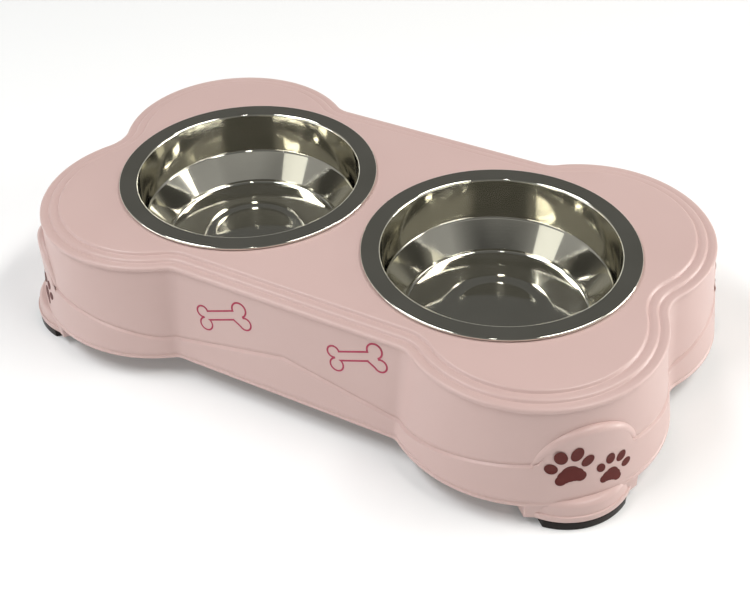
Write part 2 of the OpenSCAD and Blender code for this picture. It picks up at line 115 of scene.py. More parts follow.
@dataclass(frozen=True)
class StandSizes:
    """Sizes of the stand in millimetres, with the names that the part's source gives them."""

    rim_d: float = 135.0
    rim_gap: float = 9.7
    stand_h: float = 66.6
    wall_t: float = 2.6
    waist_margin: float = 4.3
    lobe_r: float = 61.4
    lobe_back: float = 35.8
    lobe_in: float = 46.6
    waist_fillet: float = 13.0
    end_fillet: float = 19.5
    deck_inset: float = 10.4
    terrace_inset: float = 5.5
    riser_run: float = 1.0
    terrace_drop: float = 1.1
    lip_drop: float = 0.9
    lip_h: float = 2.2
    wall_inset: float = 1.0
    wall_flare: float = 6.2
    skirt_gap: float = 12.2
    hole_r: float = 60.5
    collar_h: float = 8.0
    rib_t: float = 2.2
    web_h: float = 24.0
    band_step: float = 1.0
    band_share: float = 0.225
    gable_share: float = 0.215
    corner_share: float = 0.241
    climb_start: float = 12.0
    corner_turn: float = 42.7
    panel_r: float = 65.1
    panel_inset: float = 0.75
    arch_gap_share: float = 0.179
    pad_h: float = 4.7
    pad_w: float = 41.0
    pad_inset: float = 0.1
    foot_w: float = 55.5
    foot_in: float = 46.0
    foot_back: float = 0.3
    swell_out: float = 40.0
    swell_r: float = 32.6
    ledge_r: float = 31.1
    ledge_rise: float = 2.0
    ledge_fall: float = 1.0
    bead_h: float = 3.4
    bead_out: float = 0.3

    @property
    def lip_top(self) -> float:
        """Height of the lip's upper face."""
        return self.stand_h - self.terrace_drop - self.lip_drop

    @property
    def lip_low(self) -> float:
        """Height of the lip's lower edge."""
        return self.lip_top - self.lip_h

    @property
    def wall_h(self) -> float:
        """Height of the wall from the skirt's edge to the lip."""
        return self.lip_low - self.skirt_gap

    @property
    def band_low(self) -> float:
        """Height of the band's edge at the ends of the waist."""
        return self.skirt_gap + self.band_share * self.wall_h

    @property
    def bowl_x(self) -> float:
        """Distance of a bowl's axis from the middle of the stand."""
        return (self.rim_d + self.rim_gap) / 2

    @property
    def waist_y(self) -> float:
        """Distance of the waist's lip from the middle of the stand."""
        return self.rim_d / 2 + self.waist_margin + self.deck_inset

    @property
    def lobe_x(self) -> float:
        """Distance of a lobe's axis along the length."""
        return self.bowl_x + self.rim_d / 2 - self.lobe_back

    @property
    def lobe_y(self) -> float:
        """Distance of a lobe's axis across the width."""
        return self.waist_y - self.lobe_in

    @property
    def waist_centre(self) -> Vector:
        """Centre of the fillet between the waist and a lobe."""
        y = self.waist_y + self.waist_fillet
        reach = self.lobe_r + self.waist_fillet
        return Vector((self.lobe_x - math.sqrt(reach**2 - (y - self.lobe_y) ** 2), y, 0))

    @property
    def end_centre(self) -> Vector:
        """Centre of the fillet between the two lobes of one end."""
        reach = self.lobe_r + self.end_fillet
        return Vector((self.lobe_x + math.sqrt(reach**2 - self.lobe_y**2), 0, 0))

    @property
    def ledge_z(self) -> float:
        """Height of the ledge's edge on a foot."""
        return self.skirt_gap + self.ledge_rise

    @property
    def panel_low(self) -> float:
        """Height where the ledge begins under the panel."""
        return self.ledge_z + self.ledge_fall

    @property
    def arch_r(self) -> float:
        """Radius of a panel's arch."""
        return self.foot_w / 2 - self.panel_inset

    @property
    def arch_z(self) -> float:
        """Height of the middle of a panel's arch."""
        return self.lip_low - self.arch_gap_share * self.wall_h - self.arch_r

    def wall_out(self, z: float) -> float:
        """Distance of the drafted wall out from the lip's outline at a height."""
        return (self.lip_low - z) * self.wall_flare / self.wall_h - self.wall_inset

    def band_edge(self, x: float, y: float) -> float:
        """Works out how high the skirt band reaches over a point of the plan.

        Args:
            x: distance along the length, on either side.
            y: distance across the width, on either side.

        Returns:
            The height of the band's upper edge.
        """
        x, y = abs(x), abs(y)
        half = self.waist_centre.x
        if x <= half:
            return self.band_low + self.gable_share * self.wall_h * (1 - x / half)
        turn = math.radians(self.corner_turn)
        along = (x - self.lobe_x) * math.cos(turn) + (y - self.lobe_y) * math.sin(turn)
        climb = self.corner_share * self.wall_h / (self.panel_r - self.climb_start)
        return self.band_low + max(0.0, (along - self.climb_start) * climb)


@dataclass(frozen=True)
class Bend:
    """One point of a profile, and the distance over which its corner is rounded."""

    out: float
    up: float
    ease: float = 0.0


def arc(out: float, up: float, width: float, height: float, angles: Iterable[float]) -> list[Bend]:
    """Lists an arc's points, at angles from its start over or under its centre."""
    turns = [math.radians(angle) for angle in angles]
    return [Bend(out + width * math.sin(turn), up + height * math.cos(turn)) for turn in turns]


def only(items: Iterable[Any], kind: type) -> list:
    """Picks the items of one kind, such as the vertices among what an operator made."""
    return [item for item in items if isinstance(item, kind)]


def bevel(
    bm: BMesh, geom: list, offset: float, segments: int, affect: str = "EDGES", clamp: bool = False
) -> None:
    """Bevels edges or vertices with a round profile of that many segments."""
    bmesh.ops.bevel(
        bm, geom=geom, offset=offset, offset_type="OFFSET", segments=segments, profile=0.5,
        affect=affect, clamp_overlap=clamp, material=-1,
    )


def rounded(profile: Iterable[Bend], segments: int = 4) -> list[Vector]:
    """Rounds the corners of an open profile with bevels.

    Args:
        profile: the profile's points in order.
        segments: pieces in each rounded corner.

    Returns:
        The rounded profile's points in order, with the distance out as X and the height as Z.
    """
    bends = list(profile)
    bm = bmesh.new()
    corners = [bm.verts.new((bend.out, 0, bend.up)) for bend in bends]
    for pair in zip(corners, corners[1:]):
        bm.edges.new(pair)
    start = corners[0]
    for corner, bend in zip(corners, bends):
        if bend.ease:
            bevel(bm, [corner], bend.ease, segments, affect="VERTICES")
    points = [vert.co.copy() for vert in walk(start)]
    bm.free()
    return points


def walk(start: BMVert) -> list[BMVert]:
    """Follows a chain of edges from one vertex to its end.

    Args:
        start: the vertex at one end of the chain.

    Returns:
        The chain's vertices in order.
    """
    chain = [start]
    seen = {start}
    while True:
        onward = [edge.other_vert(chain[-1]) for edge in chain[-1].link_edges]
        onward = [vert for vert in onward if vert not in seen]
        if not onward:
            return chain
        chain.append(onward[0])
        seen.add(onward[0])


def swing(
    bm: BMesh, tip: BMVert, centre: Vector, axis: Vector, angle: float, steps: int
) -> BMVert:
    """Draws an arc of edges from a vertex, and gives the vertex at its end."""
    made = bmesh.ops.spin(
        bm, geom=[tip], cent=centre, axis=axis, angle=angle, steps=steps,
        use_merge=False, use_duplicate=False,
    )
    return only(made["geom_last"], BMVert)[0]


def grow_ring(bm: BMesh, ring: list[BMEdge], place: Callable[[BMVert], None]) -> list[BMEdge]:
    """Extrudes a ring of edges and puts each new vertex in its place.

    Args:
        bm: the mesh that grows.
        ring: the edges to extrude.
        place: moves one new vertex.

    Returns:
        The edges of the new ring.
    """
    made = bmesh.ops.extrude_edge_only(bm, edges=ring)["geom"]
    for vert in only(made, BMVert):
        place(vert)
    return only(made, BMEdge)


def cut(bm: BMesh, point: Vector, normal: Vector, drop: bool = False) -> list[BMEdge]:
    """Cuts a mesh along a plane, and can drop what lies on the normal's side."""
    made = bmesh.ops.bisect_plane(
        bm, geom=bm.verts[:] + bm.edges[:] + bm.faces[:], dist=CLOSE, plane_co=point,
        plane_no=normal, clear_outer=drop,
    )
    return only(made["geom_cut"], BMEdge)


def trim(bm: BMesh, inside: float, half_width: float) -> None:
    """Cuts a corner's closed shape off at its inner face and its two sides, and closes the cuts.

    Args:
        bm: the mesh, in the corner's own frame.
        inside: where the inner face is.
        half_width: distance of a side from the corner's middle.
    """
    for point, normal in (
        (OUT * inside, -OUT), (-ACROSS * half_width, -ACROSS), (ACROSS * half_width, ACROSS)
    ):
        bmesh.ops.edgeloop_fill(bm, edges=cut(bm, point, normal, drop=True))


def turned(bm: BMesh, profile: list[Vector], centre: Vector, steps: int) -> None:
    """Turns a profile a full circle about an upright axis.

    Args:
        bm: the mesh that takes the shape.
        profile: points with the distance from the axis as X and the height as Z.
        centre: where the axis stands.
        steps: faces round the circle.
    """
    verts = [bm.verts.new(point + centre) for point in profile]
    edges = [bm.edges.new(pair) for pair in zip(verts, verts[1:])]
    bmesh.ops.spin(
        bm, geom=verts + edges, cent=centre, axis=UP, angle=math.tau, steps=steps,
        use_merge=True, use_duplicate=False,
    )
    bmesh.ops.remove_doubles(bm, verts=bm.verts, dist=CLOSE)


def disc(radius: float, low: float, high: float) -> list[Vector]:
    """Lists the section of a plain disc between two heights."""
    section = ((0, low), (radius, low), (radius, high), (0, high))
    return [Vector((reach, 0, z)) for reach, z in section]


def ease_sharp_edges(bm: BMesh, offset: float, segments: int) -> None:
    """Bevels every edge of a closed mesh that is sharper than the shading limit.

    Args:
        bm: the mesh to ease, whose faces are turned outward first.
        offset: width of the bevel.
        segments: pieces in the bevel.
    """
    bmesh.ops.recalc_face_normals(bm, faces=bm.faces)
    bm.normal_update()
    sharp = [edge for edge in bm.edges if edge.is_manifold and edge.calc_face_angle(0) > SHARP]
    bevel(bm, sharp, offset, segments, clamp=True)


def to_mesh(bm: BMesh, name: str) -> bpy.types.Mesh:
    """Turns a bmesh into a mesh.

    Args:
        bm: the bmesh, which is freed.
        name: the mesh's name.

    Returns:
        The mesh.
    """
    mesh = bpy.data.meshes.new(name)
    bm.to_mesh(mesh)
    bm.free()
    return mesh


def in_scene(name: str, data: Any) -> bpy.types.Object:
    """Makes an object and links it to the scene.

    Args:
        name: the object's name.
        data: its mesh, light or camera.

    Returns:
        The object.
    """
    made = bpy.data.objects.new(name, data)
    bpy.context.scene.collection.objects.link(made)
    return made


@dataclass
class Piece:
    """What a finished mesh is called, what it moves with and which node it stands for."""

    name: str
    body: str = "stand"
    slot: str = "pink_plastic"
    stands_for: str = "housing"

    def finish(self, bm: BMesh, material: Material) -> None:
        """Turns a mesh in millimetres into a finished object at the origin.

        Args:
            bm: the mesh, which is freed.
            material: the finish of the piece.
        """
        bmesh.ops.remove_doubles(bm, verts=bm.verts, dist=CLOSE)
        bmesh.ops.recalc_face_normals(bm, faces=bm.faces)
        bmesh.ops.scale(bm, vec=(MM, MM, MM), verts=bm.verts)
        for face in bm.faces:
            face.smooth = True
        for edge in bm.edges:
            edge.smooth = edge.calc_face_angle(math.pi) < SHARP
        mesh = to_mesh(bm, self.name)
        mesh.materials.append(material)
        made = in_scene(self.name, mesh)
        shading = made.modifiers.new("even_shading", "WEIGHTED_NORMAL")
        shading.keep_sharp = True
        shading.weight = 80
        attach(made, self.body)
        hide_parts(self.stands_for)
        log.info("%s: %d faces, moves with %s", self.name, len(mesh.polygons), self.body)


class NodeDesk:
    """Adds nodes to one tree and links them."""

    def __init__(self, tree: NodeTree) -> None:
        """Starts on the node tree of a material, a world or a group."""
        self.tree = tree

    def add(self, kind: str, inputs: dict[Any, Any] | None = None, **settings: Any) -> Any:
        """Adds a node, sets it up and feeds its inputs.

        Args:
            kind: the node's type.
            inputs: values or output sockets for the inputs, by name or number.
            settings: properties of the node.

        Returns:
            The node.
        """
        node = self.tree.nodes.new(kind)
        for name, value in settings.items():
            setattr(node, name, value)
        for key, value in (inputs or {}).items():
            if isinstance(value, NodeSocket):
                self.tree.links.new(value, node.inputs[key])
            else:
                node.inputs[key].default_value = value
        return node

    def math(self, operation: str, *values: Any) -> NodeSocket:
        """Adds a Math node on numbers or sockets and gives its result."""
        return self.add("ShaderNodeMath", dict(enumerate(values)), operation=operation).outputs[0]

    def effect(self, group: NodeTree, *values: Any) -> NodeSocket:
        """Places a shared effect, fed with a position and values, and gives its result."""
        return self.add("ShaderNodeGroup", dict(enumerate(values)), node_tree=group).outputs[0]

    def noise(self, position: Any, scale: Any, detail: float, **more: float) -> NodeSocket:
        """Adds a noise of a scale and detail, and gives its value."""
        inputs = {"Vector": position, "Scale": scale, "Detail": detail, **more}
        return self.add("ShaderNodeTexNoise", inputs).outputs[0]

    def spread(self, value: Any, found: Span, given: Span) -> NodeSocket:
        """Carries a value from one range to another, and holds it at the ends."""
        return self.add("ShaderNodeMapRange", dict(enumerate((value, *found, *given)))).outputs[0]

    def blend(self, share: NodeSocket, low: Colour, high: Colour) -> NodeSocket:
        """Mixes two colours by the share of the second one."""
        return self.add("ShaderNodeMix", {0: share, 6: low, 7: high}, data_type="RGBA").outputs[2]


class Effects:
    """The effects that more than one finish uses, each built once as a node group."""

    broad_grain: float = 0.22
    patches: Span = (0.52, 0.7)

    def __init__(self) -> None:
        """Builds the groups."""
        self.mottle = self._mottle()
        self.grain = self._grain()
        self.rub = self._rub()

    def _start(self, name: str, gives: str, **takes: float) -> tuple[NodeDesk, Any]:
        """Starts a group with a position, its own values and one result.

        Args:
            name: the group's name.
            gives: the name of the result.
            takes: the inputs after the position, with their values.

        Returns:
            The desk of the group's tree and the sockets of its inputs.
        """
        tree = bpy.data.node_groups.new(name, "ShaderNodeTree")
        tree.interface.new_socket("Position", in_out="INPUT", socket_type="NodeSocketVector")
        for label, value in takes.items():
            made = tree.interface.new_socket(label, in_out="INPUT", socket_type="NodeSocketFloat")
            made.default_value = value
        tree.interface.new_socket(gives, in_out="OUTPUT", socket_type="NodeSocketFloat")
        desk = NodeDesk(tree)
        return desk, desk.add("NodeGroupInput").outputs

    def _mottle(self) -> NodeTree:
        """Builds the broad, soft unevenness of a moulded or printed colour.

        Returns:
            The group, whose share lies about one half.
        """
        desk, given = self._start("mottle", "Share", Scale=20, Depth=1)
        centred = desk.math("SUBTRACT", desk.noise(given[0], given[1], 3.0), 0.5)
        scaled = desk.math("MULTIPLY", centred, given[2])
        share = desk.add("ShaderNodeMath", {0: scaled, 1: 0.5}, operation="ADD", use_clamp=True)
        desk.add("NodeGroupOutput", {0: share.outputs[0]})
        return desk.tree

    def _grain(self) -> NodeTree:
        """Builds the fine texture that a mould leaves on a surface.

        Returns:
            The group, which adds a broad grain to a fine one.
        """
        desk, given = self._start("grain", "Height", Scale=900)
        broad = desk.noise(given[0], desk.math("MULTIPLY", given[1], self.broad_grain), 1.0)
        height = desk.math("ADD", desk.noise(given[0], given[1], 2.0), broad)
        desk.add("NodeGroupOutput", {0: height})
        return desk.tree

    def _rub(self) -> NodeTree:
        """Builds the faint patches where a surface has been handled and rubbed.

        Returns:
            The group, whose mask is 1 in the patches.
        """
        desk, given = self._start("rub", "Mask", Scale=30)
        patches = desk.noise(given[0], given[1], 5.0, Roughness=0.65, Distortion=0.6)
        desk.add("NodeGroupOutput", {0: desk.spread(patches, self.patches, (0.0, 1.0))})
        return desk.tree


@dataclass(frozen=True)
class Finish:
    """What every finish shares: a mottled colour, an uneven roughness and a fine relief."""

    effects: Effects
    name: str
    light: Colour
    deep: Colour
    mottle: Span
    rough: Span
    rub_scale: float = 0.0
    grain_scale: float = 1100.0
    relief_strength: float = 0.1
    relief_depth: float = 0.0002
    specular: float = 0.5
    metallic: float = 0.0
    anisotropic: Span = (0.0, 0.0)

    def position(self, desk: NodeDesk) -> NodeSocket:
        """The position on the piece that the patterns follow."""
        return desk.add("ShaderNodeTexCoord").outputs["Object"]

    def relief(self, desk: NodeDesk, position: NodeSocket) -> NodeSocket:
        """The height of the surface's grain."""
        return desk.effect(self.effects.grain, position, self.grain_scale)

    def material(self) -> Material:
        """Builds the material.

        Returns:
            The material, whose roughness follows the rubbed patches or else the mottle.
        """
        material = bpy.data.materials.new(self.name)
        material.use_nodes = True
        material.node_tree.nodes.clear()
        desk = NodeDesk(material.node_tree)
        position = self.position(desk)
        mottle = desk.effect(self.effects.mottle, position, *self.mottle)
        mask = mottle
        if self.rub_scale:
            mask = desk.effect(self.effects.rub, position, self.rub_scale)
        bump = {
            "Strength": self.relief_strength,
            "Distance": self.relief_depth,
            "Height": self.relief(desk, position),
        }
        surface = {
            "Base Color": desk.blend(mottle, self.light, self.deep),
            "Roughness": desk.spread(mask, (0.0, 1.0), self.rough),
            "Normal": desk.add("ShaderNodeBump", bump).outputs[0],
            "Specular IOR Level": self.specular,
            "Metallic": self.metallic,
            "Anisotropic": self.anisotropic[0],
            "Anisotropic Rotation": self.anisotropic[1],
        }
        shader = desk.add("ShaderNodeBsdfPrincipled", surface)
        desk.add("ShaderNodeOutputMaterial", {0: shader.outputs[0]})
        return material


@dataclass(frozen=True)
class MouldedPlastic(Finish):
    """Satin plastic straight from the mould: even colour, faint grain, soft highlights."""

    name: str = "pink_moulded_plastic"
    light: Colour = (0.62, 0.447, 0.418, 1)
    deep: Colour = (0.585, 0.414, 0.386, 1)
    mottle: Span = (14.0, 1.6)
    rough: Span = (0.36, 0.42)
    rub_scale: float = 26.0
    relief_strength: float = 0.05


@dataclass(frozen=True)
class TurnedSteel(Finish):
    """Stainless steel with the fine rings that spinning and polishing leave round its axis."""

    light: Colour = (0.80, 0.78, 0.70, 1)
    deep: Colour = (0.66, 0.64, 0.565, 1)
    mottle: Span = (30.0, 1.4)
    rough: Span = (0.07, 0.105)
    rub_scale: float = 42.0
    relief_strength: float = 0.02
    relief_depth: float = 0.0001
    metallic: float = 1.0
    anisotropic: Span = (0.5, 0.25)
    axis_x: float = 0.0
    fine_rings: float = 2600.0
    broad_rings: float = 260.0
    broad_share: float = 0.5

    def position(self, desk: NodeDesk) -> NodeSocket:
        """The position on the bowl, measured from its own axis."""
        centred = {"Vector": super().position(desk), "Location": (-self.axis_x * MM, 0, 0)}
        return desk.add("ShaderNodeMapping", centred).outputs[0]

    def relief(self, desk: NodeDesk, position: NodeSocket) -> NodeSocket:
        """Draws fine and broad rings about the bowl's axis.

        Args:
            desk: the material's desk.
            position: the position from the axis.

        Returns:
            The height of the rings.
        """
        parts = desk.add("ShaderNodeSeparateXYZ", {0: position}).outputs
        east = desk.math("MULTIPLY", parts[0], parts[0])
        north = desk.math("MULTIPLY", parts[1], parts[1])
        radius = desk.math("SQRT", desk.math("ADD", east, north))
        along = desk.add("ShaderNodeCombineXYZ", {0: radius, 1: parts[2]}).outputs[0]
        fine = desk.noise(along, self.fine_rings, 3.0, Roughness=0.6)
        broad = desk.noise(along, self.broad_rings, 2.0)
        return desk.math("ADD", fine, desk.math("MULTIPLY", broad, self.broad_share))


@dataclass(frozen=True)
class PadRubber(Finish):
    """Black rubber with a dull, slightly dusty skin."""

    name: str = "black_pad_rubber"
    light: Colour = (0.008, 0.0052, 0.0045, 1)
    deep: Colour = (0.016, 0.0105, 0.009, 1)
    mottle: Span = (60.0, 1.5)
    rough: Span = (0.36, 0.52)
    rub_scale: float = 90.0
    grain_scale: float = 1500.0
    relief_strength: float = 0.15
    specular: float = 0.16


@dataclass(frozen=True)
class PrintedInk(Finish):
    """Printed ink: a thin matt layer, a little uneven in its cover."""

    mottle: Span = (240.0, 1.7)
    rough: Span = (0.42, 0.52)
    grain_scale: float = 2200.0
    relief_depth: float = 0.0001
    specular: float = 0.18


@dataclass
class StandShell:
    """The one-piece moulding: deck, terraces, lip, wall, skirt band and its hollow underside."""

    sizes: StandSizes
    end_steps: int = 8
    lobe_steps: int = 80
    waist_steps: int = 10
    straight_cuts: int = 9
    hole_steps: int = 144
    ceiling_ease: float = 0.5
    inner_ease: float = 0.8
    edge_ease: float = 0.4
    deck_ease: float = 0.6
    lip_ease: float = 1.2
    band_ease: float = 0.35
    band_soft: float = 0.8
    band_reach: float = 2.9
    groove: float = 0.35
    groove_h: float = 1.9
    groove_low: float = 0.3
    groove_ease: float = 0.2
    groove_fade: float = 0.5
    roll: float = 0.3
    roll_h: float = 1.7
    roll_ease: float = 0.3
    skirt_ease: float = 0.6
    valley_ease: float = 0.3
    valley_drop: float = 0.35
    crown: float = 0.08
    crown_run: float = 1.6
    crown_ease: float = 0.7

    def profile(self) -> list[Vector]:
        """Lists the section from the ceiling inside, down round the skirt and up to the deck.

        Returns:
            Points with the distance out from the lip's outline as X and the height as Z.
        """
        s = self.sizes
        under = s.lip_top - s.wall_t
        inner = -s.deck_inset - s.wall_t
        band, skirt, terrace = s.band_low, s.skirt_gap, s.stand_h - s.terrace_drop
        top = skirt + self.roll_h
        rolled, skin, wall = s.wall_out(top) + s.band_step, s.band_step, s.wall_out(band)
        high, low = s.riser_run - s.deck_inset, s.riser_run - s.terrace_inset
        return rounded(
            [
                Bend(inner, s.stand_h - s.wall_t),
                Bend(inner, under, self.ceiling_ease),
                Bend(s.wall_out(under) - s.wall_t, under, self.inner_ease),
                Bend(s.wall_out(skirt) - s.wall_t, skirt, self.edge_ease),
                Bend(s.wall_out(skirt) + skin + self.roll, skirt, self.skirt_ease),
                Bend(rolled + self.roll, top - self.groove_low, self.roll_ease),
                Bend(rolled - self.groove, top + self.groove_low, self.groove_ease),
                Bend(rolled, top + self.groove_h, self.groove_fade),
                Bend(wall + skin, band - self.band_soft, self.band_ease),
                Bend(wall - self.groove, band + self.groove_low, self.groove_ease),
                Bend(wall, band + self.groove_h, self.groove_fade),
                Bend(-s.wall_inset, s.lip_low, self.edge_ease),
                Bend(0, s.lip_low, self.edge_ease),
                Bend(0, s.lip_top, self.lip_ease),
                Bend(low + self.crown_run, s.lip_top + self.crown, self.crown_ease),
                Bend(low, s.lip_top - self.valley_drop, self.valley_ease),
                Bend(-s.terrace_inset, terrace, self.deck_ease),
                Bend(high + self.crown_run, terrace + self.crown, self.crown_ease),
                Bend(high, terrace - self.valley_drop, self.valley_ease),
                Bend(-s.deck_inset, s.stand_h, self.deck_ease),
                Bend(inner, s.stand_h),
            ]
        )

    def outward(self, point: Vector) -> Vector:
        """Finds the direction square to the outline at one of its points.

        Args:
            point: a point of the outline.

        Returns:
            The unit vector that points away from the stand.
        """
        s = self.sizes
        here = Vector((abs(point.x), abs(point.y), 0))
        if here.x <= s.waist_centre.x:
            away = ACROSS
        elif (here - s.waist_centre).length < s.waist_fillet + ARC_CLOSE and here.x < s.lobe_x:
            away = (s.waist_centre - here).normalized()
        elif (here - s.end_centre).length < s.end_fillet + ARC_CLOSE and here.x > s.lobe_x:
            away = (s.end_centre - here).normalized()
        else:
            away = (here - Vector((s.lobe_x, s.lobe_y, 0))).normalized()
        east, north = math.copysign(1, point.x), math.copysign(1, point.y)
        return Vector((away.x * east, away.y * north, 0))

    def outline(self, bm: BMesh) -> list[BMEdge]:
        """Draws the lip's outline from arcs and a straight waist, and mirrors it twice.

        Args:
            bm: the mesh that takes it.

        Returns:
            The edges of the closed outline.
        """
        s = self.sizes
        lobe = Vector((s.lobe_x, s.lobe_y, 0))
        tip = bm.verts.new(s.end_centre - OUT * s.end_fillet)
        to_end = (s.end_centre - lobe).normalized()
        to_waist = (s.waist_centre - lobe).normalized()
        end_turn = math.acos(to_end.x)
        lobe_turn = math.acos(to_waist.x) + end_turn
        waist_turn = math.pi / 2 - math.acos(-to_waist.x)
        tip = swing(bm, tip, s.end_centre, UP, -end_turn, self.end_steps)
        tip = swing(bm, tip, lobe, UP, lobe_turn, self.lobe_steps)
        tip = swing(bm, tip, s.waist_centre, UP, -waist_turn, self.waist_steps)
        made = bmesh.ops.extrude_vert_indiv(bm, verts=[tip])
        made["verts"][0].co = ACROSS * s.waist_y
        bmesh.ops.subdivide_edges(bm, edges=made["edges"], cuts=self.straight_cuts)
        for axis in "XY":
            bmesh.ops.mirror(
                bm, geom=bm.verts[:] + bm.edges[:], matrix=Matrix.Identity(4),
                merge_dist=ARC_CLOSE, axis=axis,
            )
        bmesh.ops.remove_doubles(bm, verts=bm.verts, dist=ARC_CLOSE)
        return bm.edges[:]

    def sweep(self, bm: BMesh) -> tuple[list[BMEdge], list[BMEdge]]:
        """Carries the section round the outline.

        Args:
            bm: the mesh that takes the walls.

        Returns:
            The edges of the first ring, under the deck, and of the last, on top of it.
        """
        first = ring = self.outline(bm)
        root = bm.verts.layers.float_vector.new("root")
        away = bm.verts.layers.float_vector.new("away")
        for vert in bm.verts:
            vert[root] = vert.co
            vert[away] = self.outward(vert.co)
        start, *points = self.profile()
        for vert in bm.verts:
            self._put(root, away, start, vert)
        for point in points:
            ring = grow_ring(bm, ring, partial(self._put, root, away, point))
        return first, ring

    def _put(self, root: Any, away: Any, point: Vector, vert: BMVert) -> None:
        """Moves a vertex to a point of the section, which follows the band's edge near it.

        Args:
            root: the layer with the vertex's place on the outline.
            away: the layer with its direction outward.
            point: the point of the section.
            vert: the vertex.
        """
        s = self.sizes
        reach, height = point.x, point.z
        if abs(height - s.band_low) < self.band_reach:
            where = vert[root] + vert[away] * reach
            height += s.band_edge(where.x, where.y) - s.band_low
            reach += s.wall_out(height) - s.wall_out(point.z)
        vert.co = vert[root] + vert[away] * reach + UP * height

    def hole(self, bm: BMesh, side: Side) -> tuple[list[BMEdge], list[BMEdge]]:
        """Makes the hole for one bowl with the collar under it.

        Args:
            bm: the mesh that takes it.
            side: which bowl.

        Returns:
            The edges of the hole in the deck and of the collar's outer edge at the ceiling.
        """
        s = self.sizes
        axis_x = side.value * s.bowl_x
        made = bmesh.ops.create_circle(
            bm, cap_ends=False, radius=s.hole_r, segments=self.hole_steps,
            matrix=Matrix.Translation((axis_x, 0, s.stand_h)),
        )
        mouth = ring = list({edge for vert in made["verts"] for edge in vert.link_edges})
        for reach, up in (
            (s.hole_r, s.stand_h - s.collar_h),
            (s.hole_r + s.rib_t, s.stand_h - s.collar_h),
            (s.hole_r + s.rib_t, s.stand_h - s.wall_t),
        ):
            ring = grow_ring(bm, ring, partial(self._put_round, axis_x, reach, up))
        return mouth, ring

    @staticmethod
    def _put_round(axis_x: float, reach: float, up: float, vert: BMVert) -> None:
        """Moves a vertex to a distance from the bowl's axis and to a height."""
        flat = Vector((vert.co.x - axis_x, vert.co.y, 0)).normalized()
        vert.co = Vector((axis_x, 0, up)) + flat * reach

    def build(self, material: Material) -> None:
        """Builds the shell.

        Args:
            material: the stand's plastic.
        """
        bm = bmesh.new()
        ceiling, deck = self.sweep(bm)
        for side in Side:
            mouth, collar = self.hole(bm, side)
            deck = deck + mouth
            ceiling = ceiling + collar
        for edges, normal in ((deck, UP), (ceiling, -UP)):
            bmesh.ops.triangle_fill(
                bm, edges=edges, use_beauty=True, use_dissolve=False, normal=normal
            )
        Piece("stand_shell").finish(bm, material)


@dataclass
class CentreWeb:
    """The web under the deck between the two holes."""

    sizes: StandSizes
    bite: float = 1.3
    ease: float = 0.3

    def build(self, material: Material) -> None:
        """Builds the web as a plate that is let into the deck and the walls.

        Args:
            material: the stand's plastic.
        """
        s = self.sizes
        low = s.stand_h - s.web_h
        half = [
            (s.waist_y + s.wall_out(low) - self.bite, low),
            (s.waist_y + s.wall_out(s.lip_low) - self.bite, s.lip_low),
            (s.waist_y - s.deck_inset - self.bite, s.lip_low),
            (s.waist_y - s.deck_inset - self.bite, s.stand_h - self.bite),
        ]
        bm = bmesh.new()
        plan = half + [(-y, z) for y, z in reversed(half)]
        face = bm.faces.new([bm.verts.new((-s.rib_t / 2, y, z)) for y, z in plan])
        made = bmesh.ops.extrude_face_region(bm, geom=[face])["geom"]
        bmesh.ops.translate(bm, vec=OUT * s.rib_t, verts=only(made, BMVert))
        ease_sharp_edges(bm, self.ease, 2)
        Piece("centre_web").finish(bm, material)


@dataclass
class OnCorner:
    """What the pieces on one corner share."""

    sizes: StandSizes
    corner: Corner

    def settle(self, bm: BMesh, name: str, material: Material, **piece: str) -> None:
        """Carries a mesh from the corner's own frame to the corner and finishes it."""
        bmesh.ops.transform(bm, matrix=self.corner.place(self.sizes), verts=bm.verts)
        Piece(f"{name}_{self.corner.label}", **piece).finish(bm, material)


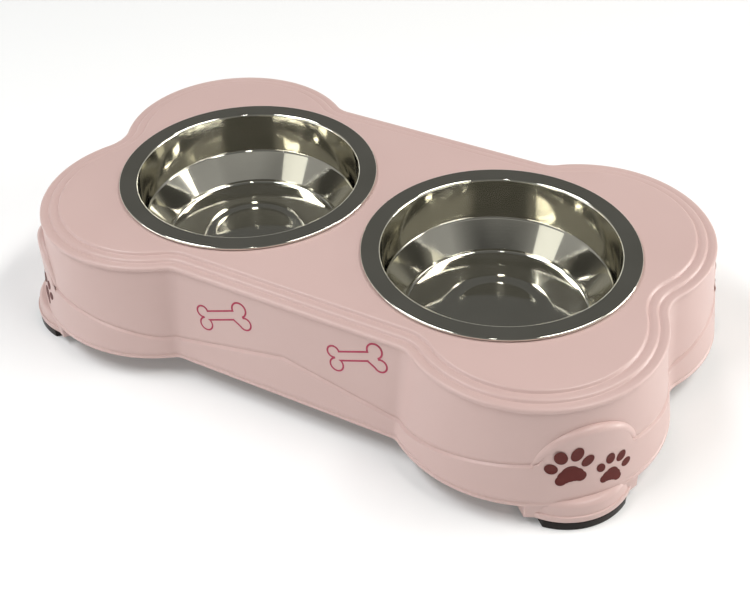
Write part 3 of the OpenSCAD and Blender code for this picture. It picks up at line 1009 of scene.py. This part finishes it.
@dataclass
class CornerPanel(OnCorner):
    """The arched panel on one corner, whose face runs down into the skirt band."""

    arc_steps: int = 56
    face_cuts: int = 24
    meet_cuts: tuple[float, ...] = (-6.0, -3.0, -1.5, 0.0, 1.5, 3.0)
    ramp: float = 2.9
    ramp_segments: int = 8
    proud: float = 0.05
    sunk: float = 0.2
    sink_from: float = 0.65
    sink_over: float = 0.25
    merge_h: float = 0.3
    plate_t: float = 1.0
    level: float = 0.01
    facing: float = 0.5

    def reach(self, across: float, z: float) -> float:
        """Gives the radius of the panel's face, eased where it meets the band and sinks in it.

        Args:
            across: distance from the corner's middle.
            z: height of the point.

        Returns:
            The radius about the lobe's axis.
        """
        s = self.sizes
        side = (abs(across) / s.arch_r - self.sink_from) / self.sink_over
        side = min(max(side, 0.0), 1.0)
        lift = self.proud - self.sunk * side * side * (3 - 2 * side)
        band = s.lobe_r + s.wall_out(z) + s.band_step + lift
        gap = max(self.merge_h - abs(s.panel_r - band), 0.0) / self.merge_h
        return max(s.panel_r, band) + gap * gap * self.merge_h / 4

    def blank(self) -> BMesh:
        """Draws the panel as a flat plate and slices it so that it can be bent.

        Returns:
            The mesh of the plate, in the corner's own frame.
        """
        s = self.sizes
        bm = bmesh.new()
        foot, start = (bm.verts.new((0, s.arch_r, z)) for z in (s.skirt_gap, s.arch_z))
        bm.edges.new((foot, start))
        end = swing(bm, start, UP * s.arch_z, OUT, math.pi, self.arc_steps)
        last = bm.verts.new((0, -s.arch_r, s.skirt_gap))
        for pair in ((end, last), (foot, last)):
            bm.edges.new(pair)
        bmesh.ops.edgeloop_fill(bm, edges=bm.edges[:])
        made = bmesh.ops.extrude_face_region(bm, geom=bm.faces[:])["geom"]
        bmesh.ops.translate(bm, vec=OUT * self.plate_t, verts=only(made, BMVert))
        for number in range(1, self.face_cuts):
            cut(bm, ACROSS * (s.arch_r * (2 * number / self.face_cuts - 1)), ACROSS)
        fall = s.wall_h / s.wall_flare
        meet = s.lip_low - (s.panel_r - s.lobe_r - s.band_step + s.wall_inset) * fall
        for lift in self.meet_cuts:
            cut(bm, UP * (meet + lift), UP)
        bmesh.ops.recalc_face_normals(bm, faces=bm.faces)
        return bm

    def build(self, material: Material) -> None:
        """Bends the plate round the lobe and gives it a rounded ramp along its arch.

        Args:
            material: the stand's plastic.
        """
        s = self.sizes
        bm = self.blank()
        rim = [edge for edge in bm.edges if self._on_rim(edge)]
        for vert in bm.verts:
            behind = s.lobe_r + s.wall_out(vert.co.z) - s.wall_t / 2
            radius = self.reach(vert.co.y, vert.co.z) if self._in_front(vert) else behind
            vert.co.x = math.sqrt(radius**2 - vert.co.y**2)
        bevel(bm, rim, self.ramp, self.ramp_segments)
        self.settle(bm, "corner_panel", material)

    def _in_front(self, vert: BMVert) -> bool:
        """Tells whether a vertex of the flat plate is on its face."""
        return vert.co.x > self.plate_t / 2

    def _on_rim(self, edge: BMEdge) -> bool:
        """Tells whether an edge of the flat plate lies between its face and its arched side.

        Args:
            edge: the edge.

        Returns:
            True on the arch and the two upright sides in front, and False along the skirt.
        """
        if len(edge.link_faces) != 2 or not all(map(self._in_front, edge.verts)):
            return False
        side, front = sorted(abs(face.normal.x) for face in edge.link_faces)
        low = all(vert.co.z < self.sizes.skirt_gap + self.level for vert in edge.verts)
        return side < self.facing < front and not low


@dataclass
class Foot(OnCorner):
    """One foot: the block under the lobe's wall and the swell with its ledge and bead."""

    steps: int = 120
    side_gap: float = 0.1
    block_up: float = 1.0
    block_ease: float = 0.6
    sole_ease: float = 0.6
    bead_ease: float = 0.35
    neck_ease: float = 0.25
    ledge_ease: float = 1.9
    top_ease: float = 0.5

    def block(self) -> BMesh:
        """Builds what the foot fills between its two sides, under the lobe's wall.

        Returns:
            The mesh of the block, in the corner's own frame.
        """
        s = self.sizes
        bm = bmesh.new()
        radius = s.lobe_r + s.wall_out(s.skirt_gap) + s.band_step - s.foot_back
        turned(bm, disc(radius, s.pad_h, s.skirt_gap + self.block_up), Vector(), self.steps)
        trim(bm, s.foot_in, s.foot_w / 2)
        ease_sharp_edges(bm, self.block_ease, 3)
        return bm

    def swell(self) -> BMesh:
        """Builds the round swell with the bead at its sole and the ledge near its top.

        Returns:
            The mesh of the swell, in the corner's own frame.
        """
        s = self.sizes
        bm = bmesh.new()
        bead_r, bead_top = s.swell_r + s.bead_out, s.pad_h + s.bead_h
        draft = (s.swell_r - s.ledge_r) / (s.ledge_z - s.pad_h)
        section = [
            Bend(0, s.pad_h),
            Bend(bead_r, s.pad_h, self.sole_ease),
            Bend(bead_r, bead_top, self.bead_ease),
            Bend(s.swell_r - draft * s.bead_h, bead_top, self.neck_ease),
            Bend(s.ledge_r, s.ledge_z, self.ledge_ease),
            Bend(s.panel_r - s.swell_out, s.panel_low, self.top_ease),
            Bend(0, s.panel_low),
        ]
        turned(bm, rounded(section, segments=5), OUT * s.swell_out, self.steps)
        trim(bm, s.foot_in + self.side_gap, s.foot_w / 2 - self.side_gap)
        return bm

    def build(self, material: Material) -> None:
        """Builds the foot.

        Args:
            material: the stand's plastic.
        """
        bm = self.block()
        held = to_mesh(self.swell(), "held")
        bm.from_mesh(held)
        bpy.data.meshes.remove(held)
        self.settle(bm, "foot", material)


@dataclass
class RubberPad(OnCorner):
    """The rubber pad under one foot."""

    steps: int = 96
    ease: float = 0.5

    def build(self, material: Material) -> None:
        """Builds the pad with soft edges.

        Args:
            material: the pad's rubber.
        """
        s = self.sizes
        bm = bmesh.new()
        radius = s.swell_r + s.bead_out - s.pad_inset
        turned(bm, disc(radius, 0, s.pad_h), OUT * s.swell_out, self.steps)
        trim(bm, s.foot_in + s.pad_inset, s.pad_w / 2)
        ease_sharp_edges(bm, self.ease, 3)
        node = f"foot_pad_{self.corner.label}"
        self.settle(bm, "pad", material, slot="black_rubber", stands_for=node)


@dataclass
class Bowl:
    """One steel bowl that hangs by its rim."""

    side: Side
    stand: StandSizes
    rim_h: float = 1.6
    rim_w: float = 9.6
    sheet: float = 0.8
    depth: float = 38.3
    shoulder_depth: float = 22.4
    shoulder_in: float = 1.9
    shoulder_step: float = 0.6
    base_in: float = 8.9
    corner_w: float = 2.0
    corner_h: float = 1.6
    disc_r: float = 22.0
    disc_drop: float = 0.8
    disc_run: float = 4.0
    seat_gap: float = 0.3
    steps: int = 192
    corner_angles: tuple[float, ...] = (8, 20, 32, 44, 56, 68, 80)
    hem_angles: tuple[float, ...] = tuple(range(0, 181, 20))
    disc_ease: float = 1.8
    hem_ease: float = 0.3
    inner_eases: tuple[float, float, float] = (0.5, 0.4, 1.3)
    outer_eases: tuple[float, float, float] = (0.8, 0.35, 0.9)

    @property
    def top(self) -> float:
        """Height of the rim's upper face."""
        return self.stand.stand_h + self.seat_gap + self.rim_h

    def profile(self) -> list[Vector]:
        """Lists the section from the middle of the floor up, over the rim and back outside.

        Returns:
            Points with the distance from the axis as X and the height as Z.
        """
        rim_r, roll = self.stand.rim_d / 2, self.rim_h / 2
        hem_in = rim_r - self.rim_h
        return rounded(
            [
                *self._face(0.0, *self.inner_eases),
                *arc(rim_r - roll, self.top - roll, roll, roll, self.hem_angles),
                Bend(hem_in, self.top - self.rim_h, self.hem_ease),
                Bend(hem_in, self.top - self.sheet, self.hem_ease),
                *reversed(self._face(self.sheet, *self.outer_eases)),
            ]
        )

    def _face(self, t: float, at_base: float, at_step: float, at_mouth: float) -> list[Bend]:
        """Lists one face of the sheet from the middle of the floor up to the mouth.

        Args:
            t: how far the face lies from the inner one.
            at_base: how far the base is rounded.
            at_step: how far the two corners of the shoulder's step are rounded.
            at_mouth: how far the mouth is rounded.

        Returns:
            The points from the axis out.
        """
        floor = self.top - self.depth
        mouth = self.stand.rim_d / 2 - self.rim_w
        shoulder = mouth - self.shoulder_in
        step = shoulder - self.shoulder_step
        base = step - self.base_in
        flat = base - self.corner_w
        low, high = floor + self.corner_h, self.top - self.shoulder_depth
        return [
            Bend(0, floor - self.disc_drop - t),
            Bend(self.disc_r, floor - self.disc_drop - t, self.disc_ease),
            Bend(self.disc_r + self.disc_run, floor - t, self.disc_ease),
            Bend(flat, floor - t),
            *arc(flat, low, self.corner_w + t, -self.corner_h - t, self.corner_angles),
            Bend(base + t, low, at_base),
            Bend(step + t, high - self.shoulder_step, at_step),
            Bend(shoulder + t, high, at_step),
            Bend(mouth + t, self.top - t, at_mouth),
        ]

    def build(self, material: Material) -> None:
        """Builds the bowl.

        Args:
            material: the bowl's steel.
        """
        bm = bmesh.new()
        turned(bm, self.profile(), OUT * self.side.value * self.stand.bowl_x, self.steps)
        label = self.side.label
        Piece(f"steel_bowl_{label}", f"{label}_bowl", "steel", f"bowl_{label}").finish(bm, material)


@dataclass
class Prints:
    """The printed bones and paws, which are the CAD nodes with an ink on them."""

    nodes: dict[str, bpy.types.Object]

    def dress(self, bones: Material, paws: Material) -> None:
        """Gives every print its ink.

        Args:
            bones: the ink of the bones.
            paws: the ink of the paws.
        """
        for name, node in self.nodes.items():
            if name.startswith(("bone_prints", "paw_prints")):
                node.data.materials.clear()
                node.data.materials.append(bones if name.startswith("bone") else paws)
                log.info("%s: dressed", name)


@dataclass(frozen=True)
class Softbox:
    """One soft light: its name, where it hangs round the stage, its size and its power."""

    name: str
    azimuth: float
    elevation: float
    distance: float
    width: float
    height: float
    power: float
    colour: tuple[float, float, float]
    aim_z: float = 0.05

    def hang(self) -> None:
        """Hangs the light, turned towards the bowls."""
        data = bpy.data.lights.new(self.name, "AREA")
        data.shape = "RECTANGLE"
        data.size, data.size_y = self.width, self.height
        data.energy = self.power
        data.color = self.colour
        lamp = in_scene(self.name, data)
        a, e = math.radians(self.azimuth), math.radians(self.elevation)
        flat = math.cos(e)
        way = Vector((flat * math.cos(a), flat * math.sin(a), math.sin(e)))
        lamp.location = way * self.distance
        lamp.rotation_mode = "QUATERNION"
        lamp.rotation_quaternion = (UP * self.aim_z - lamp.location).to_track_quat("-Z", "Y")


@dataclass(frozen=True)
class Surroundings:
    """The pale sweep round the stage under a dim ceiling, with one side open and one in shade.

    The sides are azimuths in degrees, the turns are how nearly a direction points to that side,
    and the heights are those of a direction of length 1.
    """

    tint: Colour = (0.975, 0.97, 0.93, 1)
    sweep_height: Span = (0.14, 0.3)
    sweep_glow: Span = (0.82, 0.115)
    dark_end: float = 118.0
    open_turn: Span = (0.38, 0.6)
    open_glow: float = 0.24
    open_height: Span = (0.62, 0.72)
    shade_side: float = -62.125
    shade_turn: Span = (0.6, 0.85)
    shade_depth: float = 0.8
    shade_height: Span = (0.48, 0.56)

    def build(self) -> None:
        """Builds the world, which the camera sees as plain white."""
        world = bpy.data.worlds.new("studio")
        world.use_nodes = True
        world.node_tree.nodes.clear()
        desk = NodeDesk(world.node_tree)
        sky = desk.add("ShaderNodeTexCoord").outputs["Generated"]
        parts = desk.add("ShaderNodeSeparateXYZ", {0: sky}).outputs
        ahead = self._toward(desk, parts, self.dark_end)
        behind = self._toward(desk, parts, self.shade_side)
        fall = desk.spread(parts[2], self.sweep_height, self.sweep_glow)
        sides = desk.spread(ahead, self.open_turn, (self.open_glow, 0.0))
        below = desk.spread(parts[2], self.open_height, (1.0, 0.0))
        shade = desk.spread(behind, self.shade_turn, (0.0, self.shade_depth))
        stature = desk.spread(parts[2], self.shade_height, (1.0, 0.0))
        lit = desk.math("ADD", fall, desk.math("MULTIPLY", sides, below))
        unshaded = desk.math("SUBTRACT", 1.0, desk.math("MULTIPLY", shade, stature))
        glow = desk.math("MULTIPLY", lit, unshaded)
        seen = desk.add("ShaderNodeLightPath").outputs["Is Camera Ray"]
        pale = desk.add("ShaderNodeBackground", {0: (1, 1, 1, 1), 1: 1.0})
        dim = desk.add("ShaderNodeBackground", {0: self.tint, 1: glow})
        sources = {0: seen, 1: dim.outputs[0], 2: pale.outputs[0]}
        mix = desk.add("ShaderNodeMixShader", sources)
        desk.add("ShaderNodeOutputWorld", {0: mix.outputs[0]})
        bpy.context.scene.world = world

    def _toward(self, desk: NodeDesk, parts: Any, azimuth: float) -> NodeSocket:
        """Measures how nearly the sky's direction points to one side.

        Args:
            desk: the world's desk.
            parts: the direction's X, Y and Z sockets.
            azimuth: the side, in degrees from X.

        Returns:
            The socket of the measure, which is 1 right there on the horizon.
        """
        turn = math.radians(azimuth)
        east = desk.math("MULTIPLY", parts[0], math.cos(turn))
        return desk.math("ADD", east, desk.math("MULTIPLY", parts[1], math.sin(turn)))


@dataclass(frozen=True)
class Floor:
    """The plain pale floor, which glows a little more far out, where no light reaches."""

    radius: float = 8.0
    colour: Colour = (0.9, 0.9, 0.9, 1)
    rough: float = 0.9
    far: Span = (0.75, 2.2)
    glow: Span = (0.09, 0.78)

    def build(self) -> None:
        """Lays the floor."""
        bm = bmesh.new()
        bmesh.ops.create_circle(bm, cap_ends=True, radius=self.radius, segments=64)
        mesh = to_mesh(bm, "studio_floor")
        material = bpy.data.materials.new("pale_floor")
        material.use_nodes = True
        material.node_tree.nodes.clear()
        desk = NodeDesk(material.node_tree)
        spot = desk.add("ShaderNodeTexCoord").outputs["Object"]
        away = desk.add("ShaderNodeVectorMath", {0: spot}, operation="LENGTH").outputs[1]
        surface = {
            "Base Color": self.colour,
            "Roughness": self.rough,
            "Emission Color": (1, 1, 1, 1),
            "Emission Strength": desk.spread(away, self.far, self.glow),
        }
        shader = desk.add("ShaderNodeBsdfPrincipled", surface)
        desk.add("ShaderNodeOutputMaterial", {0: shader.outputs[0]})
        mesh.materials.append(material)
        in_scene("studio_floor", mesh)


@dataclass(frozen=True)
class PhotoCamera:
    """The camera, where the photograph was taken from."""

    azimuth: float = 29.875
    elevation: float = 39.616
    roll: float = -1.625
    distance: float = 0.6010
    shift_right: float = 0.0031
    shift_up: float = -0.0479
    target_z: float = 0.0677
    focal_px: float = 1195.6
    photo_w: float = 750.0
    sensor: float = 36.0

    def build(self) -> None:
        """Puts the camera in its place and makes it the scene's."""
        a, e, r = (math.radians(v) for v in (self.azimuth, self.elevation, self.roll))
        back = Vector((math.sin(a) * math.cos(e), -math.cos(a) * math.cos(e), math.sin(e)))
        right = (-back).cross(UP).normalized()
        up = right.cross(-back)
        tilted_right = right * math.cos(r) + up * math.sin(r)
        tilted_up = up * math.cos(r) - right * math.sin(r)
        spot = UP * self.target_z + back * self.distance
        spot += tilted_right * self.shift_right + tilted_up * self.shift_up
        data = bpy.data.cameras.new("photo_camera")
        data.sensor_width = self.sensor
        data.lens = self.sensor * self.focal_px / self.photo_w
        data.clip_start = 0.01
        camera = in_scene("photo_camera", data)
        turn = Matrix((tilted_right, tilted_up, back)).transposed().to_4x4()
        camera.matrix_world = Matrix.Translation(spot) @ turn
        bpy.context.scene.camera = camera


@dataclass(frozen=True)
class Studio:
    """The camera, the lights, the surroundings and the floor."""

    boxes: tuple[Softbox, ...] = (
        Softbox("right", 16.0, 61.0, 1.5, 1.06, 0.2, 10.6, (1.0, 0.985, 0.955)),
        Softbox("left", -142.0, 61.0, 1.5, 1.06, 0.2, 10.9, (0.97, 0.985, 1.0)),
        Softbox("front_left", -116.0, 24.0, 1.0, 0.42, 0.38, 0.42, (1.0, 1.0, 0.9)),
        Softbox("low_right", 32.0, 9.0, 1.4, 0.7, 0.2, 7.0, (1.0, 0.98, 0.95)),
        Softbox("low_left", -140.0, 9.0, 1.4, 0.7, 0.2, 2.2, (0.94, 0.97, 1.0)),
        Softbox("back_right", 33.0, 31.0, 1.4, 0.6, 0.3, 2.0, (1.0, 0.99, 0.9)),
        Softbox("lamp", -63.0, 60.0, 1.1, 0.06, 0.06, 0.35, (1.0, 1.0, 0.97)),
    )

    def build(self) -> None:
        """Sets up the whole stage and shows its colours as they are."""
        bpy.context.scene.view_settings.view_transform = "Standard"
        PhotoCamera().build()
        for box in self.boxes:
            box.hang()
        Surroundings().build()
        Floor().build()


def main() -> None:
    """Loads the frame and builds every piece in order."""
    logging.basicConfig(level=logging.INFO, format="%(message)s")
    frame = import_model()
    stand = StandSizes()
    effects = Effects()
    plastic = MouldedPlastic(effects).material()
    rubber = PadRubber(effects).material()
    rose = PrintedInk(
        effects, "rose_ink", (0.36, 0.035, 0.075, 1), (0.45, 0.075, 0.125, 1)
    ).material()
    maroon = PrintedInk(
        effects, "maroon_ink", (0.092, 0.011, 0.0085, 1), (0.118, 0.0175, 0.0135, 1)
    ).material()
    StandShell(stand).build(plastic)
    CentreWeb(stand).build(plastic)
    for corner in Corner:
        CornerPanel(stand, corner).build(plastic)
        Foot(stand, corner).build(plastic)
        RubberPad(stand, corner).build(rubber)
    for side in Side:
        name, axis_x = f"turned_steel_{side.label}", side.value * stand.bowl_x
        Bowl(side, stand).build(TurnedSteel(effects, name, axis_x=axis_x).material())
    Prints(frame["nodes"]).dress(rose, maroon)
    Studio().build()


if __name__ == "__main__":
    main()
